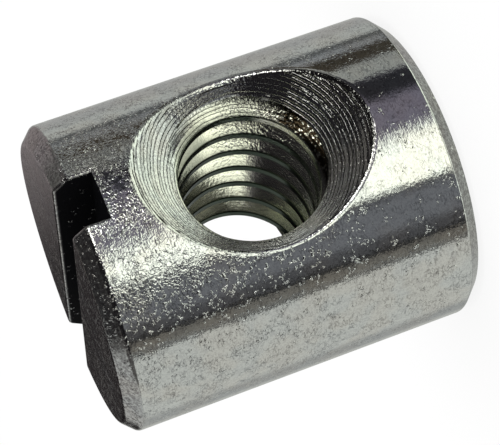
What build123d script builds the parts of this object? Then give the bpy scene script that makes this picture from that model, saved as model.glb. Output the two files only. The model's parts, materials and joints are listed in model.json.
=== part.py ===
from build123d import *
import os
from math import radians, tan

# A barrel nut for knock-down furniture: a short steel barrel with a countersunk,
# threaded hole straight through its side and a screwdriver slot across one end.
# Millimetres. The barrel stands on its plain end, with its axis on Z. The cross
# hole runs along Y and its countersunk mouth looks towards -Y.

# Barrel
barrel_diameter = 11.5
barrel_length = 13.5
end_chamfer = 0.5
edge_round = 0.12

# Cross hole, bored to the minor diameter of a 1/4-20 UNC thread
thread_minor_diameter = 4.98
hole_height = barrel_length / 2

# Countersink, from the crown of the barrel down to where its cone meets the bore
countersink_angle = 78.0
countersink_depth = 2.1
mouth_round = 0.12

# Screwdriver slot, cut a little off the line of the hole
slot_width = 1.8
slot_depth = 1.4
slot_turn = 2.4

# Room by which the cutting shapes run past the barrel
cut_margin = 1.0

barrel_radius = barrel_diameter / 2
bore_radius = thread_minor_diameter / 2


def barrel_blank():
    """Turned bar: a half section with both ends chamfered and the corners broken, spun on Z."""
    flat_radius = barrel_radius - end_chamfer
    section = Plane.XZ * make_face(
        Polyline(
            (0, 0),
            (flat_radius, 0),
            (barrel_radius, end_chamfer),
            (barrel_radius, barrel_length - end_chamfer),
            (flat_radius, barrel_length),
            (0, barrel_length),
            close=True,
        )
    )
    corners = section.vertices().filter_by(lambda corner: corner.X > flat_radius / 2)
    return revolve(fillet(corners, edge_round), Axis.Z)


def hole_cutter():
    """The bore and its countersink as one turned shape, spun on Y and lifted to the hole's height."""
    outer_y = -(barrel_radius + cut_margin)
    meeting_y = -(barrel_radius - countersink_depth)
    outer_radius = bore_radius + (meeting_y - outer_y) * tan(radians(countersink_angle / 2))
    section = make_face(
        Polyline(
            (0, outer_y),
            (outer_radius, outer_y),
            (bore_radius, meeting_y),
            (bore_radius, barrel_radius + cut_margin),
            (0, barrel_radius + cut_margin),
            close=True,
        )
    )
    return Pos(0, 0, hole_height) * revolve(section, Axis.Y)


def slot_cutter():
    """A straight channel across the end face, open at both sides of the barrel."""
    channel = Box(
        slot_width,
        barrel_diameter + 2 * cut_margin,
        slot_depth + cut_margin,
        align=(Align.CENTER, Align.CENTER, Align.MIN),
    )
    return Pos(0, 0, barrel_length - slot_depth) * Rot(0, 0, slot_turn) * channel


def mouth_rim(body):
    """The saddle-shaped edge of the mouth, the longest edge of the countersink's cone."""
    countersink = body.faces().filter_by(GeomType.CONE).sort_by(Axis.Y)[0]
    return countersink.edges().sort_by(SortBy.LENGTH)[-1]


def barrel_nut():
    """The finished nut: the blank with its cross hole, the hole's rim broken, and then the slot."""
    bored = barrel_blank() - hole_cutter()
    bored = fillet(mouth_rim(bored), mouth_round)
    return bored - slot_cutter()


os.makedirs("parts", exist_ok=True)
nut = barrel_nut()
export_step(nut, "parts/barrel_nut.step")
print("volume mm3", round(nut.volume, 2), "size", nut.bounding_box().size)
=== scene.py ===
import json
import math

import bpy
import numpy as np
from mathutils import Matrix, Vector


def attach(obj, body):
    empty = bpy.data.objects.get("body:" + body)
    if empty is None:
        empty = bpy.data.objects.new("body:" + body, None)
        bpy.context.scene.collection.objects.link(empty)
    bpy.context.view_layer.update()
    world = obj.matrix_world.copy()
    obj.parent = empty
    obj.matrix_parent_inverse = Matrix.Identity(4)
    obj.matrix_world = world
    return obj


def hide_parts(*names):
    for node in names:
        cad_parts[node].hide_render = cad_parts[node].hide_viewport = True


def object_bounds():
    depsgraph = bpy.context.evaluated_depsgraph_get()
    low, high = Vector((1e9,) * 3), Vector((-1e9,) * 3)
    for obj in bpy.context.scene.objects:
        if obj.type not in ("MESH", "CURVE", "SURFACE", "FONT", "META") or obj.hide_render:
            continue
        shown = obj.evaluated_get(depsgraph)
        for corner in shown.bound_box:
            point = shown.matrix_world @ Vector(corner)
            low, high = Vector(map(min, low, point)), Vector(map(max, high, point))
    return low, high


# A zinc-plated barrel nut: a chamfered steel barrel, countersunk and threaded straight
# through its side, with a screwdriver slot across one end. Shapes are worked out in
# millimetres and go into the mesh in metres. The barrel stands on its plain end with its
# axis on Z, and the threaded hole runs along Y with its countersunk mouth towards -Y.
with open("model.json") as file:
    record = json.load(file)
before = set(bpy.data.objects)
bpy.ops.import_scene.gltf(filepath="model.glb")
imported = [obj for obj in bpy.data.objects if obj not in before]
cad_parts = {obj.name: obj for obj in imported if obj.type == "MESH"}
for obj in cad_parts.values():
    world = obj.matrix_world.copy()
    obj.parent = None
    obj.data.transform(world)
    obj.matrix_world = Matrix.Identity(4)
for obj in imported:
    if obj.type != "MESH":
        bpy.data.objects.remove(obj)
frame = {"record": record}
cadLow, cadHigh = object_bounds()
mounts = {mount["name"]: mount for mount in frame["record"]["mounts"]}
perMetre = 1000.0
print("frame loaded, CAD box in mm", [round(side * perMetre, 2) for side in cadHigh - cadLow])

# The turned bar, before anything is cut into it
barrel = {
    "radius": (cadHigh.x - cadLow.x) / 2 * perMetre,
    "length": (cadHigh.z - cadLow.z) * perMetre,
    "chamfer": 0.5,
    "plainRound": 0.12,
    "slottedRound": 0.28,
    "cornerSteps": 5,
    "sideRows": 4,
    "stripSteps": 26,
    "faceSteps": 9,
    "stripStart": math.radians(52),
}

# The cross hole: countersink, bore, and the break at each of its two rims
crossHole = {
    "height": mounts["thread"]["pos_m"][2] * perMetre,
    "boreRadius": mounts["thread"]["dims"]["r_mm"],
    "countersinkDepth": 2.1,
    "countersinkAngle": math.radians(78),
    "runOutDepth": 4.54,
    "runOutBlend": 0.03,
    "rimBreak": 0.19,
    "farRimBreak": 0.05,
    "breakSteps": 4,
    "coneSteps": 18,
    "skinSteps": 18,
    "skinCrowding": 1.5,
    "sideColumns": 72,
    "farSearch": (0.7, 1.001),
    "farSearchSteps": 1500,
}

# The 1/4-20 thread, right-handed, cut outwards from the bore's wall
thread = {
    "pitch": 1.27,
    "phase": -3.245,
    "crestShare": 1 / 4,
    "depth": 0.687,
    "flankSlope": math.tan(math.radians(60)),
    "cornerBlend": 0.05,
    "flankSteps": 4,
    "startDepth": -4.25,
    "startFade": 0.3,
}

# The screwdriver slot across the top end
slotCut = {
    "width": 1.8,
    "depth": 1.4,
    "turn": math.radians(2.4),
    "edgeBreak": 0.14,
    "breakSteps": 3,
    "floorSteps": 12,
    "armSteps": 27,
}

barrelRadius = barrel["radius"]
barrelLength = barrel["length"]
holeHeight = crossHole["height"]
boreRadius = crossHole["boreRadius"]
meetingDepth = barrelRadius - crossHole["countersinkDepth"]
coneSlope = math.tan(crossHole["countersinkAngle"] / 2)
slotHalf = slotCut["width"] / 2
slotFloor = barrelLength - slotCut["depth"]
lowLevel = slotCut["depth"]  # the side's grids end as far from the plain end as from the slotted one
stripStart = barrel["stripStart"]
crestHalf = thread["pitch"] * thread["crestShare"] / 2


# Small helpers

def unit(vectors):
    # each vector divided by its length
    return vectors / np.linalg.norm(vectors, axis=-1, keepdims=True)


def smoothMax(a, b, blend):
    # the larger of two lengths, plus a parabola that rounds the corner where they meet
    overlap = np.maximum(blend - np.abs(a - b), 0)
    return np.maximum(a, b) + overlap ** 2 / (4 * blend)


def stepsBetween(stops, counts):
    # even steps from each stop to the next, without the last stop
    return np.concatenate([np.linspace(a, b, count, endpoint=False)
                           for a, b, count in zip(stops, stops[1:], counts)])


def blendRound(start, corner, end, startNormal, endNormal, steps):
    # a quadratic curve from start to end that leaves both towards the corner, as a row for each
    # step, with normals that turn evenly from the one to the other
    share = np.linspace(0, 1, steps + 1)[:, None, None]
    points = (1 - share) ** 2 * start + 2 * share * (1 - share) * corner + share ** 2 * end
    return points, unit((1 - share) * startNormal + share * endNormal)


# Collecting grids of points into one closed mesh

patches = []


def addPatch(points, normals, wrap=False):
    # keeps a grid of points with its normals; wrap joins the last column to the first
    normals = np.broadcast_to(normals, points.shape)
    if wrap:
        points = np.concatenate([points, points[:, :1]], 1)
        normals = np.concatenate([normals, normals[:, :1]], 1)
    patches.append((points, normals))


def gridCorners(points, normals):
    # the four corners of each cell, in the order that makes the faces look along the normals
    rows, columns = points.shape[:2]
    index = np.arange(rows * columns).reshape(rows, columns)
    corners = np.stack([index[:-1, :-1], index[:-1, 1:], index[1:, 1:], index[1:, :-1]], -1)
    corners = corners.reshape(-1, 4)
    first, second, third, fourth = points.reshape(-1, 3)[corners.T]
    facing = (np.cross(third - first, fourth - second) * normals.reshape(-1, 3)[corners].sum(1)).sum()
    return corners if facing > 0 else corners[:, ::-1]


def weldedMesh(name):
    # one vertex for all grid points in one box as wide as the weld; the nudge keeps the boxes'
    # walls off the round numbers; a cell that closed up loses its doubled corner
    weld, nudge = 2e-4, 0.37
    points = np.concatenate([grid.reshape(-1, 3) for grid, _ in patches])
    normals = np.concatenate([grid.reshape(-1, 3) for _, grid in patches])
    starts = np.cumsum([0] + [grid.shape[0] * grid.shape[1] for grid, _ in patches])
    corners = np.concatenate([gridCorners(*patch) + start for patch, start in zip(patches, starts)])
    places = np.floor(points / weld + nudge).astype(np.int64)
    first, welded = np.unique(places, axis=0, return_index=True, return_inverse=True)[1:]
    faces = welded.reshape(-1)[corners]
    keep = faces != np.roll(faces, 1, axis=1)
    keep &= (keep.sum(1) > 2)[:, None]
    counts = keep.sum(1)[keep.any(1)]
    mesh = bpy.data.meshes.new(name)
    mesh.vertices.add(len(first))
    mesh.vertices.foreach_set("co", (points[first] / perMetre).astype(np.float32).ravel())
    mesh.loops.add(int(counts.sum()))
    mesh.loops.foreach_set("vertex_index", faces[keep].astype(np.int32))
    mesh.polygons.add(len(counts))
    mesh.polygons.foreach_set("loop_start", (np.cumsum(counts) - counts).astype(np.int32))
    mesh.polygons.foreach_set("use_smooth", np.ones(len(counts), bool))
    mesh.update(calc_edges=True)
    mesh.normals_split_custom_set(normals[corners][keep])
    print("welded", len(points), "points to", len(first), "in", len(counts), "faces")
    return mesh


# Surfaces of the hole, in polar coordinates about its axis: angle 0 at +X, depth along Y

def threadRadius(angle, depth):
    # how far a point lies along from the nearest crest line makes a trapezoid of flat crest,
    # sloped flank and flat root; the crest lines move one pitch towards the mouth a turn, and
    # the groove between two of them runs out where its middle line nears the mouth
    turns = (depth - thread["phase"]) / thread["pitch"] + angle / (2 * np.pi)
    fromCrest = np.abs(turns - np.round(turns)) * thread["pitch"]
    climb = smoothMax((fromCrest - crestHalf) * thread["flankSlope"], 0, thread["cornerBlend"])
    middle = depth + (np.floor(turns) + 0.5 - turns) * thread["pitch"]
    cut = np.clip((middle - thread["startDepth"]) / thread["startFade"], 0, 1)
    groove = smoothMax(-climb, -thread["depth"], thread["cornerBlend"])
    return boreRadius - groove * cut ** 2 * (3 - 2 * cut)


def coneRadius(angle, depth):
    # the countersink opens by its slope from where it meets the bore, the same all round
    return boreRadius + (-meetingDepth - depth) * coneSlope + 0 * angle


def wallRadius(angle, depth):
    # whichever of thread and countersink lies further out
    return smoothMax(threadRadius(angle, depth), coneRadius(angle, depth), crossHole["runOutBlend"])


def holePoint(angle, depth, surface):
    # polar to straight: radius times cosine and sine, about the hole's axis
    radius = surface(angle, depth)
    return np.stack([radius * np.cos(angle), depth, holeHeight + radius * np.sin(angle)], -1)


def holeNormal(angle, depth, surface):
    # towards the axis, leaned by the radius's slopes along the hole and round it
    step = 1e-4
    along = (surface(angle, depth + step) - surface(angle, depth - step)) / (2 * step)
    around = (surface(angle + step, depth) - surface(angle - step, depth)) / (2 * step)
    around = around / surface(angle, depth)
    cosine, sine = np.cos(angle), np.sin(angle)
    return unit(np.stack([-cosine - around * sine, along, -sine + around * cosine], -1))


def addWall(angle, depth, surface, wrap=False):
    # a grid of a surface's points, with a row for each depth and a column for each angle
    angle, depth = np.broadcast_arrays(angle, depth)
    addPatch(holePoint(angle, depth, surface), holeNormal(angle, depth, surface), wrap)


def nearRim(angle):
    # cone and barrel meet where a quadratic in the radius says; the depth follows from the circle
    start = boreRadius - meetingDepth * coneSlope
    bend = 1 + (coneSlope * np.cos(angle)) ** 2
    radius = (start + np.sqrt(start ** 2 - bend * (start ** 2 - (coneSlope * barrelRadius) ** 2))) / bend
    return -np.sqrt(barrelRadius ** 2 - (radius * np.cos(angle)) ** 2)


def farRim(angle):
    # the first depth at which the thread's wall lies outside the barrel, read off fine steps
    nearest, furthest = (barrelRadius * share for share in crossHole["farSearch"])
    depths = np.linspace(nearest, furthest, crossHole["farSearchSteps"])[:, None]
    outside = (wallRadius(angle, depths) * np.cos(angle)) ** 2 + depths ** 2 - barrelRadius ** 2
    after, columns = np.argmax(outside > 0, axis=0), np.arange(len(angle))
    before, beyond = outside[after - 1, columns], outside[after, columns]
    return depths[after - 1, 0] + (depths[1, 0] - depths[0, 0]) * before / (before - beyond)


def rimStrip(angle, rimDepth, surface, rimBreak, side):
    # rounds a rim: from the break's width down the hole's wall, by the rim as the corner, to the
    # same width out on the unrolled side; returns the depth of the one border and the other one
    wallDepth = rimDepth - side * rimBreak
    corner = holePoint(angle, rimDepth, surface)
    turn, height = np.arcsin(corner[:, 0] / barrelRadius), corner[:, 2]
    outward = unit(np.stack([turn * barrelRadius, height - holeHeight], -1)) * rimBreak
    turn, height = turn + outward[:, 0] / barrelRadius, height + outward[:, 1]
    azimuth = turn if side < 0 else np.pi - turn
    addPatch(*blendRound(holePoint(angle, wallDepth, surface), corner, sidePoint(azimuth, height),
                         holeNormal(angle, wallDepth, surface), sideNormal(azimuth),
                         crossHole["breakSteps"]), wrap=True)
    return wallDepth, (turn, height)


def pitchSteps():
    # places across one pitch, close together where the profile turns
    bend = thread["cornerBlend"] / thread["flankSlope"]
    root = crestHalf + thread["depth"] / thread["flankSlope"]
    flank = np.linspace(crestHalf + bend, root - bend, thread["flankSteps"] + 1)
    half = np.concatenate([[crestHalf - bend, crestHalf], flank, [root, root + bend]])
    return np.concatenate([[0], half, [thread["pitch"] / 2], thread["pitch"] - half[::-1]])


def threadedWall(angle, threadEnd):
    # rows follow the helix and are cut off at the countersink and at the far rim
    pitch, start, mouthEnd = thread["pitch"], thread["phase"], -crossHole["runOutDepth"]
    first = math.floor((mouthEnd - start) / pitch)
    last = math.ceil((barrelRadius - start) / pitch) + 2
    rows = (np.arange(first, last)[:, None] * pitch + pitchSteps()).reshape(-1, 1) + start
    columns, ends = np.append(angle, 2 * np.pi + angle[0]), np.append(threadEnd, threadEnd[0])
    addWall(columns, np.clip(rows - pitch * columns / (2 * np.pi), mouthEnd, ends), wallRadius)


def drilledHole():
    # thread, countersink and both rims, all on the same angles, from the lower right corner round
    count = crossHole["sideColumns"] * 4
    angle = -np.pi / 4 + np.linspace(0, 2 * np.pi, count, endpoint=False)
    coneEnd, nearBorder = rimStrip(angle, nearRim(angle), coneRadius, crossHole["rimBreak"], -1)
    threadEnd, farBorder = rimStrip(angle, farRim(angle), wallRadius, crossHole["farRimBreak"], 1)
    threadedWall(angle, threadEnd)
    share = np.linspace(0, 1, crossHole["coneSteps"] + 1)[:, None]
    addWall(angle, -crossHole["runOutDepth"] * (1 - share) + coneEnd * share, wallRadius, wrap=True)
    return nearBorder, farBorder


# The barrel's side, azimuth 0 at -Y and a quarter turn at +X

def sidePoint(azimuth, height, radius=barrelRadius):
    # radius times sine along X and times cosine along -Y
    azimuth, height, radius = np.broadcast_arrays(azimuth, height, radius)
    return np.stack([radius * np.sin(azimuth), -radius * np.cos(azimuth), height], -1)


def sideNormal(azimuth, outward=1.0, upward=0.0):
    # the same for a direction, by how much of it points outward and upward
    azimuth, outward, upward = np.broadcast_arrays(azimuth, outward, upward)
    return np.stack([outward * np.sin(azimuth), -outward * np.cos(azimuth), upward], -1)


def besideSlot(radius, inset=0.0):
    # how far round from the slot's middle line its wall lies, or a line just beside it
    return np.arcsin((slotHalf + inset) / radius)


def topSide(axis):
    # azimuths along the slot floor's level, from right to left, with stops at the slot's edges
    wall, beside = besideSlot(barrelRadius), besideSlot(barrelRadius, slotCut["edgeBreak"])
    stops = [stripStart, axis + beside, axis + wall, axis - wall, axis - beside, -stripStart]
    return stepsBetween(stops, [slotCut[name] for name in
                                ("armSteps", "breakSteps", "floorSteps", "breakSteps", "armSteps")])


def sidePatch(border, slotAxis, side):
    # straight lines on the unrolled side, from a rim out to a rectangle, closer together near the rim
    turn, height = border
    count = crossHole["sideColumns"]
    edge, even = np.full(count, stripStart), np.linspace(0, 1, count, endpoint=False)
    rise = lowLevel + (slotFloor - lowLevel) * even
    outerTurn = np.concatenate([edge, topSide(slotAxis), -edge, stripStart * (2 * even - 1)])
    outerHeight = np.concatenate([rise, np.full(count, slotFloor), lowLevel + slotFloor - rise,
                                  np.full(count, lowLevel)])
    share = np.linspace(0, 1, crossHole["skinSteps"] + 1)[:, None] ** crossHole["skinCrowding"]
    azimuth = turn + (outerTurn - turn) * share
    azimuth = azimuth if side < 0 else np.pi - azimuth
    addPatch(sidePoint(azimuth, height + (outerHeight - height) * share), sideNormal(azimuth), wrap=True)


def sideStrip(hand):
    # the plain side between the two patches, a regular grid of azimuth and height
    azimuth = hand * np.linspace(stripStart, np.pi - stripStart, barrel["stripSteps"] + 1)
    height = np.linspace(lowLevel, slotFloor, crossHole["sideColumns"] + 1)[:, None]
    addPatch(sidePoint(azimuth, height), sideNormal(azimuth))


# The barrel's ends

def endProfile(corner):
    # radius, distance from the end and lean of the normal: plain side, then two rounded
    # corners with the chamfer between them
    chamfer, rows = barrel["chamfer"], barrel["sideRows"]
    setback = corner * math.tan(math.pi / 8)
    outer = np.linspace(0, np.pi / 4, barrel["cornerSteps"] + 1)
    inner = outer + np.pi / 4
    side = np.linspace(lowLevel, chamfer + setback, rows, endpoint=False)
    radius = np.concatenate([np.full(rows, barrelRadius), barrelRadius - corner * (1 - np.cos(outer)),
                             barrelRadius - chamfer - setback + corner * np.cos(inner)])
    rise = np.concatenate([side, chamfer + setback - corner * np.sin(outer), corner * (1 - np.sin(inner))])
    return radius, rise, np.concatenate([np.zeros(rows), outer, inner])


def plainEnd():
    # the profile spun right round, then rings down to the middle of the flat
    stops = [-stripStart, stripStart, np.pi - stripStart, np.pi + stripStart, 2 * np.pi - stripStart]
    azimuth = stepsBetween(stops, [crossHole["sideColumns"], barrel["stripSteps"]] * 2)
    radius, rise, lean = (column[:, None] for column in endProfile(barrel["plainRound"]))
    addPatch(sidePoint(azimuth, rise, radius), sideNormal(azimuth, np.cos(lean), -np.sin(lean)), wrap=True)
    rings = radius[-1] * np.linspace(1, 0, barrel["faceSteps"] + 1)[:, None]
    addPatch(sidePoint(azimuth, 0.0, rings), [0.0, 0.0, -1.0], wrap=True)


def slotPoint(across, along, height):
    # a point of the slot's own frame, turned about the barrel's axis
    across, along, height = np.broadcast_arrays(across, along, height)
    cosine, sine = math.cos(slotCut["turn"]), math.sin(slotCut["turn"])
    return np.stack([across * cosine - along * sine, across * sine + along * cosine, height], -1)


def slottedHalf(hand):
    # one half of the slotted end: side and chamfer, flat, slot wall, and the broken edge between them
    inset, shift = slotCut["edgeBreak"], hand * slotCut["turn"]
    beside = besideSlot(barrelRadius, inset)
    stops = [beside, stripStart - shift, np.pi - stripStart - shift, np.pi - beside]
    around = stepsBetween(stops, [slotCut["armSteps"], barrel["stripSteps"], slotCut["armSteps"]])
    around = np.append(around, stops[-1])
    radius, rise, lean = endProfile(barrel["slottedRound"])
    height, outward, upward = barrelLength - rise, np.cos(lean), np.sin(lean)
    # as the circle shrinks, the azimuths close up so that the first and last stay beside the slot
    squeeze = (np.pi / 2 - besideSlot(radius, inset)) / (np.pi / 2 - beside)
    turn = np.pi / 2 + (around - np.pi / 2) * squeeze[:, None]
    azimuth = slotCut["turn"] + hand * turn
    addPatch(sidePoint(azimuth, height[:, None], radius[:, None]),
             sideNormal(azimuth, outward[:, None], upward[:, None]))
    # the flat: lines square to the slot, from the last circle to the broken edge
    share = np.linspace(0, 1, barrel["faceSteps"] + 1)[:, None]
    circle = radius[-1] * np.sin(turn[-1])
    addPatch(slotPoint(hand * (circle + (slotHalf + inset - circle) * share),
                       -radius[-1] * np.cos(turn[-1]), barrelLength), [0.0, 0.0, 1.0])
    # the edge: up the front, over the flat and down the back
    last = len(radius) - 1
    reach = np.cos(turn[-1]) / np.cos(turn[-1, 0])
    rows = np.concatenate([np.arange(last), np.full(len(reach), last), np.arange(last)[::-1]])
    run = -np.concatenate([np.ones(last), reach, -np.ones(last)])
    edgeRadius, edgeHeight, edgeOut, edgeUp = radius[rows], height[rows], outward[rows], upward[rows]
    chord = np.sqrt(edgeRadius ** 2 - slotHalf ** 2)
    besideChord = np.sqrt(edgeRadius ** 2 - (slotHalf + inset) ** 2)
    surface = slotPoint(hand * (slotHalf + inset) / edgeRadius * edgeOut,
                        run * besideChord / edgeRadius * edgeOut, edgeUp)
    wall = slotPoint(-hand, 0.0, 0.0)
    points, normals = blendRound(
        slotPoint(hand * (slotHalf + inset), run * besideChord, edgeHeight),
        slotPoint(hand * slotHalf, run * chord, edgeHeight),
        slotPoint(hand * slotHalf, run * (chord - inset * edgeOut), edgeHeight - inset * edgeUp),
        surface, wall, slotCut["breakSteps"])
    addPatch(points, normals)
    # the slot's wall below that edge
    wallReach = (np.sqrt(radius ** 2 - slotHalf ** 2) - inset * outward)[:, None]
    wallHeight = (height - inset * upward)[:, None]
    addPatch(slotPoint(hand * slotHalf, -reach * wallReach, wallHeight), wall)
    # slivers of the floor's level under the rounded edge, front and back
    arc = np.linspace(besideSlot(barrelRadius), beside, slotCut["breakSteps"] + 1)
    for direction, column in ((1, 0), (-1, -1)):
        rim = slotPoint(hand * barrelRadius * np.sin(arc), -direction * barrelRadius * np.cos(arc),
                        slotFloor)
        addPatch(np.stack([rim, points[::-1, column]]), [0.0, 0.0, 1.0])
    return reach


def slotGround(rightReach, leftReach):
    # the slot's floor: across it even turns of the barrel's circle, along it the walls' own steps
    wall = besideSlot(barrelRadius)
    across = barrelRadius * np.sin(np.linspace(wall, -wall, slotCut["floorSteps"] + 1))
    share = (across / slotHalf + 1) / 2
    chord = np.sqrt(barrelRadius ** 2 - across ** 2)
    reach = rightReach[:, None] * share + leftReach[:, None] * (1 - share)
    along = np.concatenate([-chord[None], -reach * (chord - slotCut["edgeBreak"]), chord[None]])
    addPatch(slotPoint(across, along, slotFloor), [0.0, 0.0, 1.0])


def barrelNutMesh():
    # the hole with its rims, the side round it, both ends and the slot, welded into one closed mesh
    nearBorder, farBorder = drilledHole()
    sidePatch(nearBorder, slotCut["turn"], -1)
    sidePatch(farBorder, -slotCut["turn"], 1)
    sideStrip(1)
    sideStrip(-1)
    plainEnd()
    slotGround(slottedHalf(1), slottedHalf(-1))
    return weldedMesh("barrelNut")


nut = bpy.data.objects.new("barrelNut", barrelNutMesh())
bpy.context.scene.collection.objects.link(nut)
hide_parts("barrel_nut")
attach(nut, "root")
print("barrel nut modelled")

# Shader maths: a wrapped socket adds Math nodes where it stands in an expression

class Wire:
    def __init__(self, tree, socket):
        self.tree = tree
        self.socket = socket

    def __add__(self, other):
        return self.tree.maths("ADD", self, other)

    __radd__ = __add__

    def __mul__(self, other):
        return self.tree.maths("MULTIPLY", self, other)

    __rmul__ = __mul__

    def __sub__(self, other):
        return self.tree.maths("SUBTRACT", self, other)

    def __rsub__(self, other):
        return self.tree.maths("SUBTRACT", other, self)

    def __truediv__(self, other):
        return self.tree.maths("DIVIDE", self, other)

    def __rtruediv__(self, other):
        return self.tree.maths("DIVIDE", other, self)

    def __pow__(self, other):
        return self.tree.maths("POWER", self, other)

    def __rpow__(self, other):
        return self.tree.maths("POWER", other, self)


class NodeTree:
    def __init__(self, owner):
        owner.use_nodes = True
        self.tree = owner.node_tree
        self.tree.nodes.clear()

    def node(self, kind, settings=None, values=None, output=0):
        # any node: its settings first, then the values or wires of its sockets
        made = self.tree.nodes.new("ShaderNode" + kind)
        for name, value in (settings or {}).items():
            setattr(made, name, value)
        for name, value in (values or {}).items():
            if isinstance(value, Wire):
                self.tree.links.new(value.socket, made.inputs[name])
            else:
                made.inputs[name].default_value = value
        return Wire(self, made.outputs[output]) if made.outputs else None

    def maths(self, operation, *values):
        return self.node("Math", {"operation": operation}, dict(enumerate(values)))

    def vector(self, operation, *values):
        return self.node("VectorMath", {"operation": operation}, dict(enumerate(values)))

    def mix(self, share, first, second):
        # a colour: the first where the share is 0, the second where it is 1
        return self.node("Mix", {"data_type": "RGBA"}, {0: share, 6: first, 7: second}, 2)

    def fade(self, value, start, end):
        # 0 up to start, 1 from end on and smooth between; it runs the other way if end is the lower
        return self.node("MapRange", {"interpolation_type": "SMOOTHSTEP"},
                         {"Value": value, "From Min": start, "From Max": end})

    def past(self, value, place, edge):
        # a fade whose start and end are measured from a place
        return self.fade(value, place + edge[0], place + edge[1])

    def between(self, value, low, high, blur):
        # 1 from low to high, 0 elsewhere, and each end spread by the blur to both sides
        return self.fade(value, low - blur, low + blur) * (1 - self.fade(value, high - blur, high + blur))

    def noise(self, where, scale, detail, roughness, output="Fac"):
        return self.node("TexNoise", None, {"Vector": where, "Scale": scale, "Detail": detail,
                                            "Roughness": roughness}, output)

    def degrees(self, opposite, beside):
        # the angle of a direction, from -180 to 180
        return self.maths("ARCTAN2", opposite, beside) * (180 / math.pi)

    def parts(self, where):
        return [self.node("SeparateXYZ", None, {0: where}, axis) for axis in range(3)]

    def join(self, x, y, z):
        return self.node("CombineXYZ", None, {0: x, 1: y, 2: z})


# The finish: bright zinc plate over turned steel. Lengths are in mm, and a height is a bump's.

finish = {
    "lightZinc": (0.74, 0.755, 0.72, 1),
    "darkZinc": (0.55, 0.555, 0.54, 1),
    "warmTint": (0.66, 0.62, 0.60, 1),
    "coolTint": (0.60, 0.63, 0.67, 1),
    "tintShare": 0.3,
    # painted shade: the slot's near-black colour, over a duller plate
    "slotZinc": (0.004, 0.004, 0.005, 1),
    "slotRoughness": 0.6,
    "slotGloss": 0.02,
    # dark of the plate's cracks, and also of the painted shade in the grooves and on the rim's right side
    "crackZinc": (0.16, 0.16, 0.15, 1),
    "stainZinc": (0.03, 0.022, 0.013, 1),
    # painted shade: the dark green of the thread's crests and beside them
    "crestZinc": (0.017, 0.036, 0.018, 1),
    # painted shade: the darker colour at the thread's roots
    "rootZinc": (0.20, 0.215, 0.17, 1),
    "threadTint": (1.0, 1.0, 0.83, 1),
    # painted light: the lighter colour deep in the thread
    "deepZinc": (0.97, 0.97, 0.86, 1),
    "endShade": (0.52, 0.50, 0.51, 1),
    "plain": (1, 1, 1, 1),
    "sideRoughness": 0.065,
    "endRoughness": 0.14,
    "coneRoughness": 0.09,
    "threadRoughness": 0.15,
    "unevenGloss": 0.04,
    "grainHeight": 0.0012,
    "waveHeight": 0.004,
    "endGrainHeight": 0.003,
    "creaseHeight": 0.0075,
    "pitHeight": 0.02,
    "brushPerMm": (4.0, 4.0, 17.0),
    "brushHeight": 0.004,
    "ringHeight": 0.064,
    "scratchHeight": 0.022,
    "threadLineHeight": 0.0025,
    "chatterHeight": 0.004,
    "gritHeight": 0.024,
    "rimHeight": 0.02,
}

# Noises: how many features to the mm, how much finer detail, and how strong that detail is
noises = {
    "blotch": (2.2, 3.0, 0.6),
    "patch": (5.0, 3.0, 0.65),
    "grain": (16.0, 1.0, 0.5),
    "chatter": (9.0, 2.0, 0.6),
    "wander": (1.2, 2.0, 0.5),
    "grit": (11.0, 1.0, 0.5),
    "crease": (4.6, 2.0, 0.6),
    "tint": (0.7, 2.0, 0.5),
    "endGrain": (8.0, 3.0, 0.6),
    "endMottle": (9.0, 3.0, 0.7),
    "pitBend": (8.0, 1.0, 0.5),
    "streak": (1.0, 2.0, 0.6),
    "uneven": (1.0, 1.0, 0.5),
}

# Edges of the nut's surfaces: where a fade starts and ends, in mm past the place in the note
edges = {
    "side": (-0.03, -0.01),  # the barrel's radius
    "rim": (-0.16, -0.05),  # the same
    "rimShade": (-0.17, -0.06),  # the same
    "hole": (4.7, 4.9),  # the hole's axis
    "cone": (-0.05, 0.2),  # where cone and bore meet
    "runOut": (-0.5, -0.3),  # the same
    "slot": (0.005, 0.03),  # the slot's wall
    "slotFloor": (-0.05, 0.0),  # the slot's floor
    "crest": (0.0, 0.08),  # the bore
    "besideCrest": (0.05, 0.33),  # the same
    "root": (0.2, 0.7),  # the same
    "stain": (0.02, 0.08),  # the same
}

# Stretches where an effect shows: low, high and blur. Those named across lie along X and those
# named mouthward along -Y, in mm. The others go round the hole, in degrees, 0 at +X and 90 at +Z.
stretches = {
    "creasedAcross": (-3.7, 2.7, 0.4),
    "calmAcross": (-2.7, -1.0, 0.35),
    "finelyCreasedAcross": (1.9, 3.1, 0.25),
    "pittedAcross": (-4.1, -3.0, 0.25),
    "fewScratches": (-125, -40, 10),
    "smoothPart": (-46, 36, 9),
    "gritty": (-58, 2, 12),
    "grittyMouthward": (-1.5, 3.94, 0.04),
    "stained": (-125, -38, 14),
    "stainedMouthward": (3.1, 3.97, 0.05),
    "rimShade": (-115, -40, 12),
    "worn": (-88, -28, 7),
}

# The patterns of the plate. A pair is where a fade starts and ends.
mottle = {"zinc": (0.38, 0.56), "tint": (0.4, 0.6), "ends": (0.4, 0.6)}

pit = {
    "perMm": 6.8,
    "bend": 0.26,
    "smallest": 0.24,
    "sizeSpread": 0.36,
    "wall": (1.0, 0.2),
    "blotchWeight": 5,
    "slotwardWeight": 0.06,
    "roughFrom": (3.0, 6.0),
    "roughWeight": 0.5,
    "chance": (3.78, 3.88),
    "speckChance": (0.85, 0.87),
    "speckShare": 0.9,
}

crease = {
    "valley": (0.0, 0.12),
    "slotwardWeight": 0.045,
    "onBlotches": (0.54, 0.68),
    "calming": 0.6,
    "onPatches": (0.42, 0.55),
    "faintShare": 0.12,
}

crack = {
    "perMm": (3.5, 3.5, 7.5),
    "line": (0.01, 0.06),
    "blotchWeight": 0.6,
    "patchWeight": 0.4,
    "where": (0.43, 0.54),
    "darkness": 0.75,
}

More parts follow.
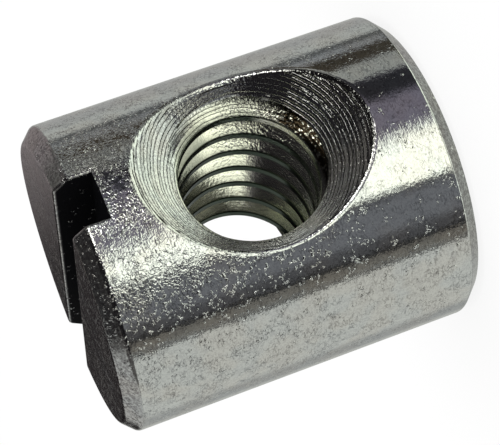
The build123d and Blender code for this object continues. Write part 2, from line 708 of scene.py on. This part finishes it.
ring = {
    "spacing": 0.115,
    "wander": 0.08,
    "uneven": 0.09,
    "unevenPerMm": 7,
    "chatter": 0.035,
    "secondDrop": (0.43, 0.51),
    "secondDepth": 0.11,
    "secondWhere": (0.35, 0.6),
    "comeBack": (0.78, 1.0),
    "slotwardWeight": 0.09,
    "coneShare": 0.7,
    "runOutShare": 0.3,
    "scratchesPerRing": 2.2,
    "scratchWander": 5,
    "leastScratched": 0.5,
    "fewerScratches": 0.6,
    "smoothFrom": (2.88, 3.05),
    "smoothing": 0.92,
    "grooveStart": (0.68, 0.8),
    "grooveEnd": (0.9, 1.0),
    "grooveBreaks": (0.36, 0.5),
    "grooveDarkness": 0.88,
}

inside = {
    "linesPerMm": 20.0,
    "lineWander": 3,
    "gritFrom": (-1.5, 3.0),
    "smoothGrit": 0.8,
    "deepFrom": (-2.5, 3.5),
    "deepLeast": 0.45,
    "deepGain": 0.4,
    "rimShade": 0.75,
    "besideLeast": 0.1,
    "besidePatches": 0.5,
    "wornFrom": (2.6, 2.75),
    "wornShare": 0.95,
    "stainRaggedness": 60,
    "stainSpots": (0.7, 0.52),
}


class NutFinish(NodeTree):
    # the nut's material; each method makes one effect of it
    def __init__(self, owner):
        super().__init__(owner)
        self.place = self.vector("MULTIPLY", self.node("TexCoord", output="Object"), (perMetre,) * 3)
        self.x, self.y, self.z = self.parts(self.place)
        self.level = self.z - holeHeight
        self.mouthward = -1 * self.y
        self.fromAxis = (self.x * self.x + self.y * self.y) ** 0.5
        self.fromHole = (self.x * self.x + self.level ** 2) ** 0.5
        self.aroundHole = self.degrees(self.level, self.x)
        self.blotch, self.patch, self.grain, self.chatter, self.wander = (
            self.noise(self.place, *noises[name])
            for name in ("blotch", "patch", "grain", "chatter", "wander"))
        self.zones()
        self.pitCells()
        self.toolSteps()

    def showing(self, value, name):
        return self.between(value, *stretches[name])

    def zones(self):
        # soft masks of the nut's surfaces, 1 inside and 0 outside
        self.onSide = self.past(self.fromAxis, barrelRadius, edges["side"])
        self.atRim = self.past(self.fromAxis, barrelRadius, edges["rim"])
        self.inHole = (1 - self.past(self.fromHole, 0, edges["hole"])) * (1 - self.onSide)
        self.inCone = self.inHole * self.past(self.mouthward, meetingDepth, edges["cone"])
        self.inThread = self.inHole - self.inCone
        self.onRunOut = self.inHole * self.past(self.mouthward, meetingDepth, edges["runOut"])
        self.onBar = 1 - self.inHole
        self.onEnds = (1 - self.onSide) * self.onBar
        # the part of the cone, towards the barrel's +X side, where the tool left no rings
        self.smoothPart = (self.showing(self.aroundHole, "smoothPart")
                           * self.fade(self.fromHole, *ring["smoothFrom"]))

    def inSlot(self):
        # from the slot's middle line to its walls, and from its floor up
        turn = slotCut["turn"]
        fromMiddle = self.maths("ABSOLUTE", self.x * math.cos(turn) + self.y * math.sin(turn))
        return ((1 - self.past(fromMiddle, slotHalf, edges["slot"]))
                * self.past(self.z, slotFloor, edges["slotFloor"]) * (1 - self.onSide))

    def pitCells(self):
        # bent cells, each with its own chance of a pit and its own size of one
        bend = self.noise(self.place, *noises["pitBend"], output="Color")
        bentPlace = self.vector("ADD", self.place, self.vector("MULTIPLY", bend, (pit["bend"],) * 3))
        cells = {"Vector": bentPlace, "Scale": pit["perMm"]}
        self.pitChance, pitSize, _ = self.parts(self.node("TexVoronoi", None, cells, "Color"))
        fromMiddle = self.node("TexVoronoi", None, cells, "Distance")
        size = pitSize * pit["sizeSpread"] + pit["smallest"]
        self.pitShape = self.fade(fromMiddle / size, *pit["wall"])

    def pits(self):
        # more of them on blotches, towards the slotted end, and along one stretch of the side
        rougher = self.showing(self.x, "pittedAcross") * self.fade(self.z, *pit["roughFrom"])
        chance = (self.pitChance + self.patch + self.blotch * pit["blotchWeight"]
                  + self.level * pit["slotwardWeight"] + rougher * pit["roughWeight"])
        return self.pitShape * self.fade(chance, *pit["chance"])

    def creases(self):
        # valleys where a noise crosses its middle, deep on blotches near the slot and faint beside them
        fromLine = self.maths("ABSOLUTE", self.noise(self.place, *noises["crease"]) - 0.5)
        calm = self.showing(self.x, "calmAcross") * crease["calming"]
        deep = (self.fade(self.blotch + self.level * crease["slotwardWeight"], *crease["onBlotches"])
                * (self.showing(self.x, "creasedAcross") - calm))
        faint = (self.showing(self.x, "finelyCreasedAcross") * self.fade(self.patch, *crease["onPatches"])
                 * crease["faintShare"])
        return self.fade(fromLine, *crease["valley"]) * (deep + faint)

    def cracks(self):
        # thin dark lines where a noise, squeezed along Z, crosses its middle
        squeezed = self.vector("MULTIPLY", self.place, crack["perMm"])
        fromLine = self.maths("ABSOLUTE", self.noise(squeezed, *noises["streak"]) - 0.5)
        spots = self.blotch * crack["blotchWeight"] + self.patch * crack["patchWeight"]
        return (1 - self.fade(fromLine, *crack["line"])) * self.fade(spots, *crack["where"])

    def brushing(self):
        # it runs round the barrel: fine along Z, long across it
        return self.noise(self.vector("MULTIPLY", self.place, finish["brushPerMm"]), *noises["streak"])

    def toolSteps(self):
        # the countersinking tool's steps, counted by the distance from the hole's axis with some
        # unevenness, and how far along its own step each point lies
        uneven = self.noise(self.join(self.fromHole * ring["unevenPerMm"], 0.0, 0.0), *noises["uneven"])
        distance = (self.fromHole + self.wander * ring["wander"] + uneven * ring["uneven"]
                    + self.chatter * ring["chatter"])
        self.stepCount = distance / ring["spacing"]
        self.alongStep = self.maths("FRACT", self.stepCount)

    def rings(self):
        # each step sinks and comes back at its end, deeper towards +Z, with a second drop towards -Z
        second = (self.fade(self.alongStep, *ring["secondDrop"])
                  * self.fade(-1 * self.level / self.fromHole, *ring["secondWhere"]))
        sunk = ((self.alongStep + second * ring["secondDepth"])
                * (1 - self.fade(self.alongStep, *ring["comeBack"])))
        steps = (-1 * sunk * (self.level * ring["slotwardWeight"] + 1)
                 * (self.inCone * ring["coneShare"] + self.onRunOut * ring["runOutShare"]))
        # scratches keep to the rings, and there are fewer along one stretch
        where = self.join(self.stepCount * ring["scratchesPerRing"],
                          self.wander * ring["scratchWander"], 0.0)
        fewer = self.showing(self.aroundHole, "fewScratches") * ring["fewerScratches"]
        scratches = (self.noise(where, *noises["streak"]) * (self.blotch + ring["leastScratched"])
                     * self.onRunOut * (1 - fewer))
        both = steps * finish["ringHeight"] + scratches * finish["scratchHeight"]
        return both * (1 - self.atRim) * (1 - self.smoothPart * ring["smoothing"])

    def grooveShade(self):
        # painted shade: broken dark lines in the groove near the end of each step
        line = (self.fade(self.alongStep, *ring["grooveStart"])
                * (1 - self.fade(self.alongStep, *ring["grooveEnd"])))
        return (line * self.fade(self.chatter, *ring["grooveBreaks"])
                * self.onRunOut * (1 - self.smoothPart))

    def grit(self):
        # on the smooth part, and where the thread's flanks turn from light to dark
        gritty = (self.inHole * self.showing(self.aroundHole, "gritty")
                  * self.showing(self.mouthward, "grittyMouthward")
                  * self.fade(self.mouthward, *inside["gritFrom"]))
        smooth = self.smoothPart * self.inHole * inside["smoothGrit"]
        return self.noise(self.place, *noises["grit"]) * (gritty + smooth)

    def threadLines(self):
        # lines of the thread tool follow the helix
        helix = self.y + self.aroundHole / 360 * thread["pitch"]
        where = self.join(helix * inside["linesPerMm"], self.wander * inside["lineWander"], 0.0)
        return self.noise(where, *noises["streak"])

    def bumps(self):
        # every height in mm, each on its own surface of the nut
        bar = self.pits() * finish["pitHeight"] * self.onBar
        side = (self.creases() * finish["creaseHeight"] + self.patch * finish["waveHeight"]
                + self.brushing() * finish["brushHeight"]) * self.onSide
        ends = self.noise(self.place, *noises["endGrain"]) * finish["endGrainHeight"] * self.onEnds
        hole = (self.threadLines() * finish["threadLineHeight"]
                + self.chatter * finish["chatterHeight"]) * self.inThread
        rim = self.chatter * finish["rimHeight"] * self.inHole * self.atRim
        height = (self.grain * finish["grainHeight"] + self.grit() * finish["gritHeight"]
                  + bar + side + ends + self.rings() + hole + rim)
        return self.node("Bump", None, {"Strength": 1.0, "Distance": 1 / perMetre, "Height": height})

    def plateColour(self):
        # mottled zinc, dark in its cracks, with painted shade in its grooves, then tinted warm and cool in
        # wide patches
        light = self.fade((self.grain + self.patch) * 0.5, *mottle["zinc"])
        colour = self.mix(light, finish["darkZinc"], finish["lightZinc"])
        dark = self.cracks() * self.onSide * crack["darkness"] + self.grooveShade() * ring["grooveDarkness"]
        colour = self.mix(dark, colour, finish["crackZinc"])
        cool = self.fade(self.noise(self.place, *noises["tint"]), *mottle["tint"])
        tint = self.mix(cool, finish["warmTint"], finish["coolTint"])
        colour = self.mix(finish["tintShare"], colour, tint)
        # the ends are mottled darker
        shaded = self.fade(self.noise(self.place, *noises["endMottle"]), *mottle["ends"]) * self.onEnds
        return self.vector("MULTIPLY", colour, self.mix(shaded, finish["plain"], finish["endShade"]))

    def holeColour(self, colour):
        # yellower in the thread, with painted shade at its roots and on the rim's right side, and painted
        # light that makes it lighter again the deeper it lies
        threadTint = self.mix(self.inThread, finish["plain"], finish["threadTint"])
        colour = self.vector("MULTIPLY", colour, threadTint)
        # painted shade at the thread's roots
        root = self.inThread * self.past(self.fromHole, boreRadius, edges["root"])
        colour = self.mix(root, colour, finish["rootZinc"])
        # painted light: lighter the deeper it lies
        deep = self.fade(self.y, *inside["deepFrom"]) * inside["deepGain"] + inside["deepLeast"]
        colour = self.mix(self.inThread * deep, colour, finish["deepZinc"])
        shaded = (self.inHole * self.past(self.fromAxis, barrelRadius, edges["rimShade"])
                  * self.showing(self.aroundHole, "rimShade"))
        colour = self.mix(shaded * inside["rimShade"], colour, finish["crackZinc"])
        # painted shade: dark green crests, with a softer painted shade beside them, left lighter along a
        # stretch of the first one
        crest = self.inThread * (1 - self.past(self.fromHole, boreRadius, edges["crest"]))
        beside = (self.inThread * (1 - self.past(self.fromHole, boreRadius, edges["besideCrest"]))
                  * (self.patch * inside["besidePatches"] + inside["besideLeast"]))
        worn = self.showing(self.aroundHole, "worn") * self.fade(self.mouthward, *inside["wornFrom"])
        colour = self.mix(beside * (1 - worn), colour, finish["crestZinc"])
        colour = self.mix(crest * (1 - worn * inside["wornShare"]), colour, finish["crestZinc"])
        # a dark brown patch with ragged ends on the thread's first flank
        ragged = self.aroundHole + (self.chatter - 0.5) * inside["stainRaggedness"]
        stain = (self.inHole * self.showing(ragged, "stained")
                 * self.showing(self.mouthward, "stainedMouthward")
                 * self.past(self.fromHole, boreRadius, edges["stain"])
                 * self.fade(self.chatter, *inside["stainSpots"]))
        return self.mix(stain, colour, finish["stainZinc"])

    def roughness(self):
        even = (self.onSide * finish["sideRoughness"] + self.inCone * finish["coneRoughness"]
                + self.inThread * finish["threadRoughness"] + self.onEnds * finish["endRoughness"])
        return even + (self.blotch - 0.5) * finish["unevenGloss"]

    def shader(self):
        plate = self.node("BsdfPrincipled", None, {
            "Base Color": self.holeColour(self.plateColour()), "Metallic": 1.0,
            "Roughness": self.roughness(), "Normal": self.bumps()})
        # the slot's walls are dull plate with painted shade that makes them nearly black, with specks of
        # bright plate
        dullSlotShade = self.node("BsdfPrincipled", None, {
            "Base Color": finish["slotZinc"], "Roughness": finish["slotRoughness"],
            "Specular IOR Level": finish["slotGloss"]})
        specks = self.pitShape * self.fade(self.pitChance, *pit["speckChance"]) * pit["speckShare"]
        return self.node("MixShader", None, {0: self.inSlot() * (1 - specks), 1: plate, 2: dullSlotShade})


def zincPlate():
    made = bpy.data.materials.new("zincPlate")
    tree = NutFinish(made)
    tree.node("OutputMaterial", None, {"Surface": tree.shader()})
    return made


nut.data.materials.append(zincPlate())
print("zinc plate made")

# The floor: pale, and mostly white of its own to the camera, so that only the nut's shade shows

floorPlate = {"half": 10.0, "colour": (0.93, 0.93, 0.93, 1), "ownWhite": 0.85}


def floorPiece():
    # a square about the origin, its half side in metres
    side = np.array([-1, 1]) * floorPlate["half"]
    corners = np.stack(np.meshgrid(side, side) + [np.zeros((2, 2))], -1).reshape(-1, 3)
    mesh = bpy.data.meshes.new("floor")
    mesh.from_pydata(corners.tolist(), [], [[0, 1, 3, 2]])
    made = bpy.data.materials.new("floorPaint")
    tree = NodeTree(made)
    matt = tree.node("BsdfDiffuse", None, {"Color": floorPlate["colour"]})
    glow = tree.node("Emission", None, {"Strength": 1.0})
    seen = tree.node("LightPath", output="Is Camera Ray") * floorPlate["ownWhite"]
    tree.node("OutputMaterial", None, {"Surface": tree.node("MixShader", None, {0: seen, 1: matt, 2: glow})})
    mesh.materials.append(made)
    piece = bpy.data.objects.new("floor", mesh)
    piece.visible_glossy = False
    bpy.context.scene.collection.objects.link(piece)


floorPiece()

# The world: white to the eye, a light tent with a dark opening to the metal. A panel is a window
# of azimuth (turn) and elevation (rise) in degrees, and each is painted over those before it.
# The edges of one that leans move back by so many degrees of turn for each degree of rise.

tent = {
    "wall": (0.50, 0.51, 0.485, 1),
    "riseBlur": 5,
    "panels": {
        "nearWall": {"turn": (-175, -80), "rise": (-50, 3), "blur": 6, "colour": (0.62, 0.63, 0.595, 1)},
        "lowWall": {"turn": (-200, -160), "rise": (-50, 3), "blur": 6, "colour": (0.40, 0.41, 0.40, 1)},
        "backWall": {"turn": (112, 140), "rise": (-50, 3), "blur": 8, "colour": (0.42, 0.42, 0.41, 1)},
        "ground": {"turn": (-200, 200), "rise": (-100, -50), "blur": 9, "colour": (0.42, 0.43, 0.40, 1)},
        "floorGlow": {"turn": (-145, 90), "rise": (-100, -56), "blur": 9, "colour": (1.25, 1.33, 1.20, 1)},
        "room": {"turn": (-200, 200), "rise": (1, 100), "blur": 6, "colour": (0.125, 0.12, 0.114, 1)},
        "roof": {"turn": (-200, 200), "rise": (62, 120), "blur": 6, "colour": (0.03, 0.029, 0.03, 1)},
        "leftWall": {"turn": (-200, -116), "rise": (1, 57), "blur": 4, "colour": (0.50, 0.505, 0.49, 1)},
        "warmShade": {"turn": (146, 178), "rise": (1, 45), "blur": 2, "colour": (0.015, 0.012, 0.013, 1)},
        "warmWall": {"turn": (92, 153.5), "rise": (1, 38), "blur": 3, "colour": (0.27, 0.238, 0.24, 1)},
        "opening": {"turn": (-86, 49), "rise": (-55, 8), "blur": 1, "colour": (0.09, 0.09, 0.095, 1)},
        "darkRoom": {"turn": (-88, 60), "rise": (2, 70), "blur": 6, "colour": (0.012, 0.011, 0.013, 1)},
        "openingEdge": {"turn": (-66, -42), "rise": (-50, 2), "blur": 4, "colour": (0.18, 0.185, 0.20, 1)},
        "edgeBand": {"turn": (-87, -79), "rise": (-50, 2), "blur": 1, "colour": (0.19, 0.18, 0.16, 1)},
        "edgeLine": {"turn": (-79, -75.5), "rise": (-50, 2), "blur": 1, "colour": (0.03, 0.03, 0.03, 1)},
        "rimLine": {"turn": (-90, -87.5), "rise": (-50, 2), "blur": 0.6, "colour": (0.06, 0.06, 0.06, 1)},
        "stripFoot": {"turn": (-40, 20), "rise": (-60, -28), "blur": 5, "colour": (0.62, 0.65, 0.58, 1)},
        "stripLight": {"turn": (-37, 8), "rise": (-32, 4), "blur": 2.5, "colour": (1.60, 1.65, 1.45, 1)},
        "stripShade": {"turn": (-24, 60), "lean": 1.33, "rise": (-30, 8), "blur": 4,
                       "colour": (0.20, 0.185, 0.23, 1)},
        "blackCard": {"turn": (28, 50), "rise": (-40, 8), "blur": 5, "colour": (0.03, 0.03, 0.035, 1)},
        "sideCard": {"turn": (49, 65), "rise": (-50, 2), "blur": 1, "colour": (0.35, 0.36, 0.34, 1)},
        "sideGap": {"turn": (65, 81), "rise": (-50, 2), "blur": 1.5, "colour": (0.06, 0.052, 0.04, 1)},
        "blueCard": {"turn": (81, 96), "rise": (-50, 2), "blur": 1.5, "colour": (0.31, 0.32, 0.33, 1)},
        "blueGap": {"turn": (88, 95), "rise": (-50, 2), "blur": 1.5, "colour": (0.11, 0.115, 0.115, 1)},
        "bounce": {"turn": (20, 108), "rise": (-100, -42), "blur": 6, "colour": (1.25, 1.35, 1.15, 1)},
        "lowShelf": {"turn": (62, 110), "rise": (-34, -21), "blur": 3, "colour": (0.05, 0.052, 0.045, 1)},
        "keyLight": {"turn": (-4, 17), "rise": (5, 25), "blur": 3, "colour": (5.5, 5.5, 5.2, 1)},
    },
}


def studioWorld():
    # turn is 0 towards -Y and 90 towards +X, and rise is 0 at the horizon
    world = bpy.data.worlds.new("studio")
    bpy.context.scene.world = world
    tree = NodeTree(world)
    x, y, z = tree.parts(tree.node("TexCoord", output="Generated"))
    turn = tree.degrees(x, -1 * y)
    rise = tree.maths("ARCSINE", z) * (180 / math.pi)
    colour = tent["wall"]
    for panel in tent["panels"].values():
        leaning = turn + rise * panel.get("lean", 0)
        share = (tree.between(leaning, *panel["turn"], panel["blur"])
                 * tree.between(rise, *panel["rise"], tent["riseBlur"]))
        colour = tree.mix(share, colour, panel["colour"])
    mirrored = tree.node("Background", None, {"Color": colour, "Strength": 1.0})
    plain = tree.node("Background", None, {"Color": (1, 1, 1, 1), "Strength": 1.0})
    glossy = tree.node("LightPath", output="Is Glossy Ray")
    either = tree.node("MixShader", None, {0: glossy, 1: plain, 2: mirrored})
    tree.node("OutputWorld", None, {"Surface": either})


studioWorld()

# One soft lamp overhead, for the shadow on the floor, in metres, radians and watts

lamp = {"place": (0.1, -0.1, 0.5), "tilt": (0.2, 0.2, 0), "size": 0.4, "watts": 0.6}


def softLamp():
    light = bpy.data.lights.new("softLamp", "AREA")
    light.size = lamp["size"]
    light.energy = lamp["watts"]
    piece = bpy.data.objects.new("softLamp", light)
    piece.location = lamp["place"]
    piece.rotation_euler = lamp["tilt"]
    piece.visible_glossy = False
    bpy.context.scene.collection.objects.link(piece)


softLamp()
print("floor, world and lamp made")

# The camera looks down at the standing nut and is rolled on its side, as in the photograph.
# Angles are in degrees, and lengths in mm but for the clip distances, which are in metres.

view = {
    "azimuth": -23.344,
    "elevation": 11.7,
    "roll": -109.543,
    "distance": 71.185,
    "right": 0.177,
    "up": -0.026,
    "aimHeight": 6.771,
    "lens": 141.304,
    "sensor": 36,
    "nearClip": 0.001,
    "farClip": 50,
}


def photoCamera():
    # back points from the nut to the camera; roll turns right and up about it
    azimuth, elevation, roll = (math.radians(view[name]) for name in ("azimuth", "elevation", "roll"))
    back = Vector((math.sin(azimuth) * math.cos(elevation), -math.cos(azimuth) * math.cos(elevation),
                   math.sin(elevation)))
    level = Vector((0, 0, 1)).cross(back).normalized()
    above = back.cross(level)
    right = level * math.cos(roll) + above * math.sin(roll)
    up = above * math.cos(roll) - level * math.sin(roll)
    place = (Vector((0, 0, view["aimHeight"])) + back * view["distance"] + right * view["right"]
             + up * view["up"]) / perMetre
    lens = bpy.data.cameras.new("photoCamera")
    lens.sensor_width = view["sensor"]
    lens.lens = view["lens"]
    lens.clip_start = view["nearClip"]
    lens.clip_end = view["farClip"]
    camera = bpy.data.objects.new("photoCamera", lens)
    rows = [(*axes, along) for axes, along in zip(zip(right, up, back), place)]
    camera.matrix_world = Matrix(rows + [(0, 0, 0, 1)])
    bpy.context.scene.collection.objects.link(camera)
    bpy.context.scene.camera = camera


photoCamera()
bpy.context.scene.view_settings.view_transform = "Standard"
